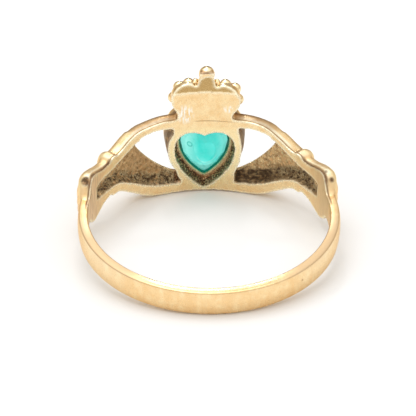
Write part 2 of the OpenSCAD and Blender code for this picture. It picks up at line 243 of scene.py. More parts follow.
def skin(name, rings):
    """A grid rolled into a tube through rings of points, and closed at both ends."""
    rows = len(rings)
    across = len(rings[0])
    bpy.ops.mesh.primitive_grid_add(x_subdivisions=across, y_subdivisions=rows - 1, size=1)
    piece = named(name)
    points = points_of(piece)
    order = np.lexsort((points[:, 0], points[:, 1]))
    points[order] = [ring[k % across] for ring in rings for k in range(across + 1)]
    moved_points(piece, points)
    bpy.ops.object.mode_set(mode="EDIT")
    bpy.ops.mesh.select_all(action="SELECT")
    bpy.ops.mesh.remove_doubles(threshold=1e-5)
    bpy.ops.mesh.select_all(action="DESELECT")
    bpy.ops.mesh.select_non_manifold()
    bpy.ops.mesh.edge_face_add()
    faces_outwards()
    return piece


def slab(name, outline, from_y, to_y):
    """An outline in X and Z, filled and extruded along Y."""
    bpy.ops.mesh.primitive_circle_add(vertices=len(outline), radius=1)
    piece = named(name)
    moved_points(piece, np.array([(x, from_y, z) for x, z in outline]))
    bpy.ops.object.mode_set(mode="EDIT")
    bpy.ops.mesh.select_all(action="SELECT")
    bpy.ops.mesh.edge_face_add()
    bpy.ops.mesh.extrude_region_move(TRANSFORM_OT_translate={"value": (0, to_y - from_y, 0)})
    faces_outwards()
    return piece


def ball(name, centre, radius, squash=(1, 1, 1)):
    bpy.ops.mesh.primitive_uv_sphere_add(segments=32, ring_count=20, radius=radius, location=centre)
    piece = named(name)
    piece.scale = squash
    settle()
    return piece


def rod(name, start, end, radius):
    start, end = Vector(start), Vector(end)
    along = end - start
    bpy.ops.mesh.primitive_cylinder_add(vertices=32, radius=radius, depth=along.length,
                                        location=(start + end) / 2,
                                        rotation=along.to_track_quat("Z", "Y").to_euler())
    piece = named(name)
    settle()
    return piece


def joined(name, pieces):
    activate(pieces[0])
    for piece in pieces[1:]:
        piece.select_set(True)
    bpy.ops.object.join()
    return named(name)


def modified(piece, kind, **settings):
    """Gives a piece one modifier and applies it."""
    activate(piece)
    tool = piece.modifiers.new(kind.title(), kind)
    for key, value in settings.items():
        setattr(tool, key, value)
    bpy.ops.object.modifier_apply(modifier=tool.name)
    return piece


def cut(piece, cutter, operation="DIFFERENCE"):
    modified(piece, "BOOLEAN", operation=operation, solver="MANIFOLD", object=cutter)
    bpy.data.objects.remove(cutter, do_unlink=True)
    return piece


# Hands

def relief_depth(angle, s):
    """How deep the surface lies below the finger ridges and the cuff's flutes."""
    fingers = FINGER_GROOVE * fade(angle, *FINGER_ENDS) * (1 - abs(math.sin(math.pi * FINGERS * s)))
    flutes = FLUTE_DEPTH * (1 - fade(angle, *FLUTE_STARTS)) * (1 - abs(math.sin(math.pi * FLUTES * s)))
    return fingers + flutes


def knuckle_height(angle, s):
    ridge = abs(math.sin(math.pi * FINGERS * s))
    return sum(height * math.exp(-((angle - place - KNUCKLE_SLANT * (s - 0.5)) / spread) ** 2) * ridge
               for place, height, spread in KNUCKLES)


def section(angle, low, top, thick, steps, swell=0.0, relief=True):
    """One section of the ring's head, flat towards the finger and domed in front."""
    ring = [at(angle, FINGER_R - INSET, low)]
    for k in range(steps + 1):
        s = k / steps
        r = FINGER_R + thick * (EDGE_SHARE + (1 - EDGE_SHARE) * dome(s))
        if relief:
            r += (knuckle_height(angle, s) - relief_depth(angle, s)) * dome(s)
        ring.append(at(angle, r, low + (top + swell - low) * s))
    ring.append(at(angle, FINGER_R, top))
    ring.append(at(angle, FINGER_R - INSET, top))
    return ring


def palm_and_cuff(side):
    return skin("palm", [section(angle, PALM_DROP * hand_value(LOW, angle), palm_top(side, angle),
                                 HAND_T * hand_value(THICK, angle), steps=60)
                         for angle in each_degree(*PALM_ANGLES)])


def thumb(side):
    root_drop = 0.35
    swell = 0.12
    rings = []
    for angle in each_degree(*THUMB_ANGLES):
        low = THUMB_RISE * hand_value(GAP_TOP, angle) - root_drop * (1 - fade(angle, 32, 37))
        rings.append(section(angle, low, hand_top(side, angle), THUMB_T, steps=20,
                             swell=swell * fade(angle, 12, 32), relief=False))
    return skin("thumb", rings)


def bracelet(side):
    middle = 50.5
    spread = 3.2
    swell_most = 0.30
    sunk = 0.12
    wrist = 52
    low = PALM_DROP * hand_value(LOW, wrist)
    top = hand_top(side, wrist)
    thick = HAND_T * hand_value(THICK, wrist)
    rings = []
    for u in np.linspace(-1, 1, 13):
        swell = (swell_most + sunk) * math.sqrt(max(0, 1 - u * u)) - sunk
        rings.append(section(middle + spread * u, low - swell * 0.7, top + swell * 0.7, thick + swell,
                             steps=24, relief=False))
    return skin("bracelet", rings)


def hand(side):
    start = THUMB_ANGLES[0]
    tip_r = 0.5
    tip = at(start, FINGER_R + THUMB_T * 0.62, hand_top(side, start) - tip_r / 2)
    return on_side(side, joined("hand", [palm_and_cuff(side), thumb(side), bracelet(side),
                                         ball("thumb_tip", tip, tip_r)]))


def on_side(side, piece):
    """A piece made for the right hand, mirrored in X for the left one."""
    if side < 0:
        activate(piece)
        piece.scale = (-1, 1, 1)
        settle()
        bpy.ops.object.mode_set(mode="EDIT")
        faces_outwards()
    return piece


def hollow_low(angle):
    return PALM_DROP * hand_value(GAP_LOW, angle)


def hollow_deep(angle):
    return FINGER_R + (HAND_T * hand_value(THICK, angle) - SHELL_T) * float(fade(angle, 54, 71))


def hollow_top(side, angle):
    if angle >= WRIST_ANGLE - 1:
        return THUMB_RISE * hand_value(GAP_TOP, angle)
    start = HOLLOW_ANGLES[side][0]
    rise = 0.4 - HOLLOW_CORNER_DROP[side] * float(fade(angle, start, start + 3))
    return min(palm_top(side, angle) + rise, THUMB_RISE * hand_value(GAP_TOP, angle))


def palm_hollow(side):
    draft = 0.2
    back_r = FINGER_R - INSET - 0.2
    rings = []
    for angle in each_degree(*HOLLOW_ANGLES[side]):
        low = hollow_low(angle)
        top = hollow_top(side, angle)
        deep = hollow_deep(angle)
        rings.append([at(angle, back_r, low), at(angle, deep, low + draft),
                      at(angle, deep, top - draft), at(angle, back_r, top)])
    return on_side(side, skin("hollow", rings))


# Heart

def heart(half_w, top, tip):
    """A heart as X and Z, from its dip along its right half to its point and back."""
    steps = 12
    half = [(half_w * LOBE_SHARE * k / steps, top - HEART_DIP * (1 - k / steps) ** 2)
            for k in range(steps + 1)]
    for k in range(1, steps + 1):
        a = math.pi / 2 * k / steps
        half.append((half_w * (LOBE_SHARE + (1 - LOBE_SHARE) * math.sin(a)),
                     HEART_WAIST + (top - HEART_WAIST) * math.cos(a)))
    for k in range(1, 2 * steps + 1):
        a = math.pi / 2 * k / (2 * steps)
        half.append((half_w * math.cos(a) ** 1.7, HEART_WAIST - (HEART_WAIST + tip) * math.sin(a)))
    half[-1] = (0.0, half[-1][1])
    return half + [(-x, z) for x, z in half[-2:0:-1]]


def stone_outline(grow):
    return heart(STONE_HALF_W + grow, STONE_TOP + grow, STONE_TIP + grow * 0.9)


# The bezel is this much wider on its right side
BEZEL_RIGHT = 1.035


def bezel():
    chamfer = 0.15
    foot = stone_outline(0.1)
    waist = stone_outline(RIM_W - chamfer)
    rim = stone_outline(RIM_W)
    heights = ((foot, FINGER_R - INSET), (waist, FINGER_R + PLATE_T), (rim, RIM_Y - chamfer), (waist, RIM_Y))
    piece = skin("bezel", [[(x, y, z) for x, z in outline] for outline, y in heights])
    points = points_of(piece)
    points[:, 0] *= np.where(points[:, 0] > 0, BEZEL_RIGHT, 1)
    moved_points(piece, points)
    return piece


# Frame behind the bezel: its webs as shares of its half width and of PALM_DROP, its corners in mm
WEB_LEFT = ((-0.95, 0.2), (-0.84, 0.36), (-0.73, 0.555), (-0.62, 0.695), (-0.62, 0.9))
CORNER_LEFT = ((-1.7, 1.0), (-2.62, 0.5), (-2.45, 1.0), (-2.34, 1.6), (-2.3, 2.5), (-1.7, 2.5))
CORNER_RIGHT = ((1.7, 2.5), (2.49, 2.5), (2.54, 1.8), (2.68, 1.15), (2.77, 0.6), (1.7, 0.9))
WEB_RIGHT = ((0.86, 0.9), (0.83, 0.695), (0.82, 0.53), (0.9, 0.36), (0.97, 0.2))


def heart_frame():
    half_w = STONE_HALF_W + FRAME_W
    low_y = FINGER_R - 2 * INSET
    high_y = FINGER_R + PLATE_T
    web = [(x * half_w, -z * PALM_DROP) for x, z in WEB_LEFT + WEB_RIGHT]
    bar = mirrored([(half_w, -PALM_DROP), (half_w, 0.75 - PALM_DROP)])
    corners = [slab("corner", outline, low_y, high_y) for outline in (CORNER_LEFT, CORNER_RIGHT)]
    return joined("heart_frame", [
        slab("frame", heart(half_w, STONE_TOP + 0.3, PALM_DROP - 0.02), low_y, high_y),
        slab("web", web, low_y, high_y),
        slab("bar", bar, low_y, high_y)] + corners)


def opening_outline():
    return heart(STONE_HALF_W, STONE_TOP - 0.35, STONE_TIP + 0.04)


def ledge_outline():
    """The stone's outline, drawn in towards the heart's centre by the ledge's width."""
    share = 1 - LEDGE_W / STONE_HALF_W
    return [(x * share, HEART_CENTRE + (z - HEART_CENTRE) * share) for x, z in stone_outline(0)]


def seat_cutters():
    return [slab("opening", opening_outline(), FINGER_R - 3 * INSET, LEDGE_Y - LEDGE_T),
            slab("ledge", ledge_outline(), LEDGE_Y - LEDGE_T - 0.2, LEDGE_Y + 0.2),
            slab("pocket", stone_outline(STONE_GAP), LEDGE_Y, RIM_Y + 0.2)]


# Crown

# Beads on the crown, from its middle outwards: left and right as shares of CROWN_HALF_W, height as a
# share of CROWN_RISE, size as a share of BEAD_R
CROWN_BEADS = ((0.50, 0.57, 0.905, 1.2), (0.77, 0.86, 0.850, 1.2), (0.91, 0.975, 0.690, 1.12))
# Outline of the crown's neck, from foot to rim, and of a lobe, from its outer corner to the stem
NECK_SWEEP = ((0, 0), (0.25, 0.12), (0.6, 0.25), (0.9, 0.37), (1, 0.53))
LOBE_SWEEP = ((1, 1), (0.94, 0.62), (0.85, 0.28), (0.71, 0.02), (0.55, -0.1), (0.42, -0.08), (0.33, 0.12),
              (0.27, 0.1))
LOBE_H = 0.8
STEM_H = 0.94
PELLETS = 5
PELLET_R = 0.17
RIB_R = 0.24
LEAF_R = 0.24
STEM_R = 0.5
FINIAL_SCALE = 1.12


def crown_outline():
    stem_half_w = FINIAL_R
    half = [(NECK_HALF_W, STONE_TOP - INSET)]
    half += [(NECK_HALF_W + (CROWN_HALF_W - NECK_HALF_W) * x, NECK_Z + (CROWN_RISE - NECK_Z) * z)
             for x, z in NECK_SWEEP]
    half += [(CROWN_HALF_W * x, CROWN_RISE - LOBE_H * z) for x, z in LOBE_SWEEP]
    half += [(stem_half_w + 0.08, CROWN_RISE + STEM_H / 4), (stem_half_w, CROWN_RISE + STEM_H / 3),
             (stem_half_w, CROWN_RISE + STEM_H)]
    return mirrored(half)


def crown():
    band_z = THUMB_RISE + 0.2
    band_h = 0.55
    sunk = 0.2
    band_y = CROWN_Y + 0.05
    back_y = FINGER_R + PLATE_T - 0.2
    body = mirrored([(NECK_HALF_W, band_z), (CROWN_HALF_W, NECK_Z + 0.8), (CROWN_HALF_W, CROWN_RISE * 0.78),
                     (CROWN_HALF_W * 0.55, CROWN_RISE * 0.95)])
    foot_band = mirrored([(NECK_HALF_W + 0.1, band_z), (NECK_HALF_W + 0.2, band_z + band_h)])
    pieces = [slab("plate", crown_outline(), FINGER_R - 2 * INSET, FINGER_R + PLATE_T),
              slab("body", body, back_y, CROWN_Y - sunk),
              slab("foot_band", foot_band, back_y, band_y)]
    for k in range(PELLETS):
        x = NECK_HALF_W * 0.85 * (2 * k / (PELLETS - 1) - 1)
        pieces.append(ball("pellet", (x, band_y, band_z + band_h / 2), PELLET_R))
    for left, right, rise, size in CROWN_BEADS:
        for across in (-left * CROWN_HALF_W, right * CROWN_HALF_W):
            z = rise * CROWN_RISE
            pieces.append(rod("rib", (across * 0.62, CROWN_Y - sunk, band_z + band_h / 2),
                              (across, CROWN_Y - sunk, z), RIB_R))
            pieces.append(ball("bead", (across, CROWN_Y - sunk / 2, z), size * BEAD_R))
    stem_y = CROWN_Y - 0.3
    pieces.append(rod("stem", (0, stem_y, band_z), (0, stem_y, CROWN_RISE + 0.4), STEM_R))
    pieces.append(ball("finial", (0, FINGER_R + CROWN_T * 0.7, CROWN_RISE + 0.58), FINIAL_R * FINIAL_SCALE))
    for side in (-1, 1):
        pieces.append(ball("leaf", (side * 0.8, CROWN_Y - 0.36, CROWN_RISE - 0.12), LEAF_R))
    piece = joined("crown", pieces)
    foot = Matrix.Translation((0, 0, NECK_Z))
    piece.data.transform(foot @ Matrix.Rotation(CROWN_LEAN, 4, "Y") @ foot.inverted())
    return piece


# Arch where the crown's bevel meets the stem: middle, foot, half width and height
ARCH_X, ARCH_Z, ARCH_HALF_W, ARCH_H = 0.25, 5.87, 0.8, 0.44


def arch_outline():
    """The stem's share above the arch, as X and Z."""
    top = 8.0
    sides = [ARCH_X + ARCH_HALF_W * u for u in np.linspace(-1.12, 1.12, 15)]
    arch = [(x, ARCH_Z + ARCH_H * (1 - ((x - ARCH_X) / ARCH_HALF_W) ** 2)) for x in sides]
    return arch + [(sides[-1], top), (sides[0], top)]


def bevel_cutters():
    bevel_z = CROWN_RISE - 0.55
    run = 0.42
    rise = 1.3
    below = 0.2
    slope = 0.42
    above_h = 3
    bpy.ops.mesh.primitive_cone_add(vertices=ROUND_STEPS, radius1=HEAD_R - below * slope,
                                    radius2=HEAD_R + slope * rise, depth=rise + below,
                                    location=(0, 0, bevel_z + (rise - below) / 2))
    cone = named("bevel")
    settle()
    bpy.ops.mesh.primitive_cylinder_add(vertices=ROUND_STEPS, radius=HEAD_R + run, depth=above_h,
                                        location=(0, 0, ARCH_Z - 0.3 + above_h / 2))
    above = named("bevel_above")
    settle()
    near_y, far_y = 7.0, 11.0
    cone = cut(cone, slab("arch", arch_outline(), near_y, far_y))
    above = cut(above, slab("arch", arch_outline(), near_y, far_y), "INTERSECT")
    return [cone, above]


# Band

# The shank runs from this angle behind one hand round to the other
BAND_START = 74


def band():
    """The shank: a rounded section spun round the finger."""
    edge = FINGER_R + BAND_EDGE_T
    half_w = BAND_W / 2
    soft = 0.10
    inner, outer, side = FINGER_R + soft, edge - soft, half_w - soft

    def domed(r, z):
        return r + BAND_DOME * (1 - (z / half_w) ** 2), z

    outline = []
    for corner_r, corner_z, start in ((inner, -side, 180), (outer, -side, 270),
                                      (outer, side, 0), (inner, side, 90)):
        for k in range(5):
            a = math.radians(start + 90 * k / 4)
            point = (corner_r + soft * math.cos(a), corner_z + soft * math.sin(a))
            outline.append(domed(*point) if corner_r == outer else point)
    middle = len(outline) // 2
    outline[middle:middle] = [domed(edge, z) for z in np.linspace(-side, side, 9)[1:-1]]
    angles = np.linspace(BAND_START, 360 - BAND_START, 213)
    return skin("band", [[at(angle, r, z) for r, z in outline] for angle in angles])


def fused(piece, voxel):
    return modified(piece, "REMESH", mode="VOXEL", voxel_size=voxel)


def smoothed(piece, factor, repeats, weights=None):
    """Evens out a mesh, only where weights are above 0 if they are given."""
    if weights is None:
        return modified(piece, "SMOOTH", factor=factor, iterations=repeats)
    group = piece.vertex_groups.new(name="soft")
    for step in np.unique(np.round(weights[weights > 0.05], 1)):
        members = np.flatnonzero(np.abs(weights - step) <= 0.05)
        group.add(members.tolist(), float(step), "REPLACE")
    modified(piece, "SMOOTH", factor=factor, iterations=repeats, vertex_group=group.name)
    piece.vertex_groups.remove(piece.vertex_groups["soft"])
    return piece


def evened(piece, repeats):
    """Takes the voxel steps out of a mesh and keeps its size: each smoothing is pushed back out."""
    for _ in range(repeats):
        smoothed(piece, 0.5, 1)
        smoothed(piece, -0.53, 1)


def polished_bore(piece):
    """Brings the points that lie next to the finger hole exactly onto it."""
    points = points_of(piece)
    _, r = around(points)
    near = np.abs(r - HEAD_R) < 0.05
    points[near, :2] *= (HEAD_R / r[near])[:, None]
    moved_points(piece, points)


def around(points):
    """Each point's angle round the finger, in degrees from the heart towards +X, and its distance out."""
    x, y = points[:, 0], points[:, 1]
    return np.degrees(np.arctan2(x, y)), np.hypot(x, y)


def by_angle(angle, value, first=8, last=82):
    """A value of the hands' sections, read off at each point's own angle."""
    table = each_degree(first, last)
    return np.interp(angle, table, [value(a) for a in table])


def on_hands(points, share):
    """The larger of the two hands' shares, from a function of side, angle, distance out and height."""
    angle, r = around(points)
    return np.maximum(*(share(side, side * angle, r, points[:, 2]) for side in (-1, 1)))


# Casting pits on top of the cuffs' ends: angle, distance out from the finger hole, and radius
PITS = ((-74.5, 0.50, 0.30), (71.5, 0.30, 0.13), (75.5, 0.60, 0.12))


def pit_centre(angle, out):
    return np.array(at(angle, FINGER_R + out, hand_top(1 if angle > 0 else -1, abs(angle)) + 0.1))


def cuff_pits():
    return [ball("pit", pit_centre(angle, out), radius, (1, 1, 0.8)) for angle, out, radius in PITS]


def in_pit(points):
    return np.maximum.reduce([
        ramp(np.linalg.norm(points - pit_centre(angle, out), axis=1), radius + 0.12, radius + 0.02)
        for angle, out, radius in PITS])


CUFF_GROOVE_ANGLES = (53, 76)
CUFF_GROOVE_OUT = 0.15


def cuff_groove(side):
    """A groove along the cuff's upper edge on the finger side."""
    widest = 0.13
    narrowest = 0.02
    first, last = CUFF_GROOVE_ANGLES
    rings = []
    for angle in np.arange(first, last + 0.1, 0.5):
        radius = narrowest + widest * math.sin(math.pi * (angle - first) / (last - first)) ** 0.5
        rings.append([at(angle, HEAD_R + CUFF_GROOVE_OUT + radius * math.cos(a),
                         hand_top(side, angle) - 0.04 + radius * math.sin(a))
                      for a in np.linspace(0, 2 * math.pi, 13)[:-1]])
    return on_side(side, skin("groove", rings))


def in_cuff_groove(side, angle, r, z):
    """1 in the groove along a cuff, falling off to 0 at its edges."""
    first, last = CUFF_GROOVE_ANGLES
    top = by_angle(angle, lambda a: hand_top(side, a), first, last)
    along = between(angle, first - 1, first + 1, last - 1, last + 1)
    return along * ramp(np.abs(z - top), 0.28, 0.18) * ramp(np.abs(r - HEAD_R - CUFF_GROOVE_OUT), 0.13, 0.08)


# Voxels that fuse the head's pieces, and then its cut shape; the steps round its cones and cylinders;
# the angles past which the cuffs' ends are softened
JOINING_VOXEL = 0.06
CASTING_VOXEL = 0.08
ROUND_STEPS = 256
SOFT_END_ANGLES = (69, 74)


def ring_head():
    head = fused(joined("head", [hand(1), hand(-1), bezel(), heart_frame(), crown()]), JOINING_VOXEL)
    bpy.ops.mesh.primitive_cylinder_add(vertices=ROUND_STEPS, radius=HEAD_R, depth=30,
                                        location=(0, 0, 0))
    cutters = [named("bore"), palm_hollow(1), palm_hollow(-1)] + seat_cutters() + bevel_cutters()
    for cutter in cutters + cuff_pits() + [cuff_groove(1), cuff_groove(-1)]:
        cut(head, cutter)
    fused(head, CASTING_VOXEL)
    evened(head, 10)
    smoothed(head, 0.5, 2)
    angle, _ = around(points_of(head))
    smoothed(head, 0.5, 14, ramp(np.abs(angle), *SOFT_END_ANGLES))
    polished_bore(head)
    return head


# Patina, casting lumps, and where highlights are painted

def stored(piece, name, values):
    layer = piece.data.attributes.new(name, "FLOAT", "POINT")
    layer.data.foreach_set("value", np.ascontiguousarray(values, dtype=np.float32))


def edge_ends(piece):
    pairs = np.empty(len(piece.data.edges) * 2, dtype=np.int64)
    piece.data.edges.foreach_get("vertices", pairs)
    return pairs.reshape(-1, 2).T


def averaged(values, ends, repeats):
    """Each point's value replaced by the mean of its neighbours', a few times over."""
    a, b = ends
    n = len(values)
    count = np.bincount(a, minlength=n) + np.bincount(b, minlength=n)
    for _ in range(repeats):
        values = (np.bincount(a, values[b], n) + np.bincount(b, values[a], n)) / count
    return values


def creases(piece, ends, repeats):
    """How far each point lies below the surface round it, in mm, less than 0 on a ridge."""
    points = points_of(piece)
    lift = np.column_stack([averaged(points[:, k], ends, repeats) for k in range(3)]) - points
    return (lift * read_vectors(piece, "normal")).sum(axis=1)


def in_hollow(side, angle, r, z):
    """1 inside the hollow behind a palm, falling off to 0 at its edges."""
    low = by_angle(angle, hollow_low)
    top = by_angle(angle, lambda a: hollow_top(side, a))
    deep = by_angle(angle, hollow_deep)
    first, last = HOLLOW_ANGLES[side]
    across = between(angle, first - 0.6, first + 0.4, last - 4, last - 1)
    upright = between(z, low - 0.05, low + 0.1, top - 0.05, top + 0.1)
    return across * upright * between(r, HEAD_R + 0.03, HEAD_R + 0.12, deep + 0.15, deep + 0.3)


# Where marks of wear and painted highlights begin, are full, are still full and end, or only the first two:
# angles from the heart in degrees, distances out in mm
LIP_ANGLES = (13, 15, 34, 36)
STRIPE_ANGLES = (14, 18, 42, 46)
STRIPE_OUT = (HEAD_R + 0.14, HEAD_R + 0.22, HEAD_R + 0.4, HEAD_R + 0.5)
WRIST_ANGLES = (40, 44, 54, 58)
WORN_END_ANGLES = (58, 66)
HEAD_ANGLES = (86, 80)
# Soot in the left and in the right hollow: height above its lower edge, and how softly it ends
GUTTER_H = (0.85, 1.02)
GUTTER_SOFT = (0.55, 0.3)
# Only points this far out in front belong to the heart
HEART_SIDE_Y = 6


def behind_stone(points):
    """1 on the wall and ledge between the finger hole and the stone."""
    x, y, z = points.T
    wide = STONE_HALF_W + 0.15
    across = np.clip(np.abs(x) / wide, 0, 1)
    low = HEART_WAIST - (HEART_WAIST + STONE_TIP + 0.1) * np.sqrt(1 - across ** 1.18)
    inside = (np.abs(x) < wide) & (z < STONE_TOP + 0.1) & (z > low) & (y > HEART_SIDE_Y)
    r = np.hypot(x, y)
    return inside * ramp(r, HEAD_R + 0.03, HEAD_R + 0.1) * ramp(y, LEDGE_Y - 0.08, LEDGE_Y - 0.18)


def beside_bezel(points):
    """1 on the outer wall of the bezel, in the gap behind the frame round the heart."""
    x, y, z = points.T
    reach = between(np.abs(x), 1.7, 1.9, 3.2, 3.35) * between(z, -2.6, -2.3, 2.55, 2.75) * (y > HEART_SIDE_Y)
    return reach * ramp(np.hypot(x, y), HEAD_R + 0.1, HEAD_R + 0.3) * ramp(y, RIM_Y - 0.35, RIM_Y - 0.75)


def beside_neck(points):
    """1 on the thumbs' upper faces next to the crown's neck, falling off along the arms."""
    x, y, z = points.T
    reach = between(np.abs(x), NECK_HALF_W - 0.1, NECK_HALF_W + 0.1, 4.2, 7.6)
    upright = between(z, THUMB_RISE * 0.8, THUMB_RISE * 0.9, THUMB_RISE + 0.5, THUMB_RISE + 0.9)
    return reach * upright * ramp(np.hypot(x, y), HEAD_R + 0.06, HEAD_R + 0.16)


def palm_lip(side, angle, r, z):
    """1 along a palm's upper edge, seen through the window, where a painted highlight goes."""
    top = by_angle(angle, lambda a: palm_top(side, a))
    deep = by_angle(angle, hollow_deep)
    near = ramp(np.abs(z - top + 0.05), 0.13, 0.05) * ramp(r, deep - 0.1, deep)
    return near * between(angle, *LIP_ANGLES)


def at_window(side, angle, _, z):
    """1 at a palm's upper edge, where the lumps of the casting end."""
    top = by_angle(angle, lambda a: palm_top(side, a))
    return ramp(np.abs(z - top), 0.4, 0.12) * (angle > HOLLOW_ANGLES[-1][0]) * (angle < WRIST_ANGLE)


def arm_highlight_stripe(side, angle, r, z):
    """1 on a stripe along an arm's upper face next to the finger, where a painted highlight goes."""
    top = by_angle(angle, lambda a: hand_top(side, a))
    return ramp(np.abs(z - top), 0.22, 0.14) * between(angle, *STRIPE_ANGLES) * between(r, *STRIPE_OUT)


def from_outline(points, outline):
    """Distance from each point to a closed outline in X and Z."""
    least = np.full(len(points), 9.0)
    x, z = points[:, 0], points[:, 2]
    for (ax, az), (bx, bz) in zip(outline, outline[1:] + outline[:1]):
        across, along = bx - ax, bz - az
        t = np.clip(((x - ax) * across + (z - az) * along) / (across ** 2 + along ** 2), 0, 1)
        least = np.minimum(least, np.hypot(x - ax - t * across, z - az - t * along))
    return least


def from_ledge(points):
    """Distance from each point to the plane of the ledge's face towards the finger."""
    return np.abs(points[:, 1] - LEDGE_Y + LEDGE_T)


def seat_lip(points):
    """1 on the ledge's edge towards the finger round the stone, where a painted highlight goes."""
    return ramp(from_ledge(points), 0.2, 0.12) * ramp(from_outline(points, ledge_outline()), 0.18, 0.11)


def ledge_face(points):
    """1 on the ledge's face towards the finger, brightest on the right."""
    x, _, z = points.T
    inside = ramp(from_outline(points, opening_outline()), 0.02, 0.1) * (np.abs(x) < STONE_HALF_W)
    return ramp(from_ledge(points), 0.14, 0.07) * inside * ramp(x, -1.0, 1.0) * (z < STONE_TOP)


# Lumps left by the casting: height in mm and fineness of each layer
LUMPS = ((0.09, 2.2), (0.07, 5.3))
SEAT_LIP_H = 0.05


def roughened(piece):
    """Lumps left by the casting in the hollows behind the palms and behind the stone."""
    points = points_of(piece)
    ends = edge_ends(piece)
    in_palm = on_hands(points, in_hollow) * (1 - on_hands(points, at_window))
    rough = np.maximum(in_palm, behind_stone(points) - seat_lip(points))
    rough = averaged(rough, ends, 2)
    lift = SEAT_LIP_H * averaged(seat_lip(points), ends, 1)
    for k in np.flatnonzero(rough > 0.3):
        place = Vector(points[k])
        lift[k] += rough[k] * sum(height * noise.noise(place * fine) for height, fine in LUMPS)
    moved_points(piece, points + read_vectors(piece, "normal") * lift[:, None])


def add_wear_and_highlights(piece):
    """Stores where patina sits, where the casting was left rough, and where edges, lips and stripes carry
    painted highlights along with edge wear.
    """
    ends = edge_ends(piece)
    points = points_of(piece)
    x, y, z = points.T
    angle, r = around(points)
    off_heart = np.abs(angle)

    def soft(values, repeats=2):
        return averaged(values, ends, repeats)

    hollow = soft(on_hands(points, in_hollow))
    wall = soft(behind_stone(points))
    gap = soft(beside_bezel(points))
    neck = soft(beside_neck(points))
    pit = soft(in_pit(points), 1)
    cuff_line = soft(on_hands(points, in_cuff_groove), 1)
    # Lips of the palms and of the seat: painted highlights, kept clear of patina and soot
    lip = np.maximum(on_hands(points, palm_lip), seat_lip(points))
    face = ledge_face(points)

    gutter_top = by_angle(off_heart, hollow_low) + np.where(x < 0, *GUTTER_H)
    gutter = ramp(z, gutter_top, gutter_top - np.where(x < 0, *GUTTER_SOFT)) * hollow
    at_wrist = between(off_heart, *WRIST_ANGLES) * (1 - hollow)
    fold = np.maximum(ramp(creases(piece, ends, 6), 0.006, 0.03), ramp(creases(piece, ends, 30), 0.07, 0.2))
    groove = soft(fold) * (1 - 0.6 * at_wrist)
    crevice = groove * np.maximum(hollow, ramp(z, 4.2, 4.8))
    worn_end = 1 - 0.35 * ramp(off_heart, *WORN_END_ANGLES)
    on_band = (off_heart > BAND_START - 1) & (np.abs(z) < BAND_W / 2 + 0.02)
    # Ridges of the head away from the band, painted as highlights along with edge wear
    ridge = ramp(-creases(piece, ends, 3), 0.003, 0.009) * ramp(off_heart, *HEAD_ANGLES) * ~on_band

    stained = np.maximum.reduce([groove, gap, 0.75 * neck, hollow * worn_end, wall, pit, cuff_line])
    sooty = np.maximum.reduce([gutter * worn_end, wall * (1 - face), 0.75 * gap, 0.8 * pit, 0.7 * cuff_line])
    stored(piece, "rough_cast", np.clip(hollow + wall, 0, 1))
    stored(piece, "patina", np.clip(stained - lip - 0.35 * face, 0, 1))
    stored(piece, "grime", np.clip(sooty + 0.5 * crevice - lip, 0, 1))
    # Painted highlights: ridges, lips and the arms' stripes
    stored(piece, "rubbed_and_highlight", np.maximum.reduce([soft(ridge, 1), lip, on_hands(points, arm_highlight_stripe)]))
    stored(piece, "round_mm", np.arctan2(x, -y) * FINGER_R)
    stored(piece, "out_mm", r)


ring = cut(ring_head(), band(), "UNION")
roughened(ring)
add_wear_and_highlights(ring)


def placed(piece):
    """Tips an upright piece onto the table and scales it from millimetres to the frame's metres."""
    activate(piece)
    piece.scale = (MM, MM, MM)
    piece.rotation_euler = (TILT, 0, 0)
    settle()
    bpy.ops.object.shade_smooth_by_angle(angle=math.radians(35))
    return piece


placed(ring)
ring.name = ring.data.name = "gold_casting"


# Materials

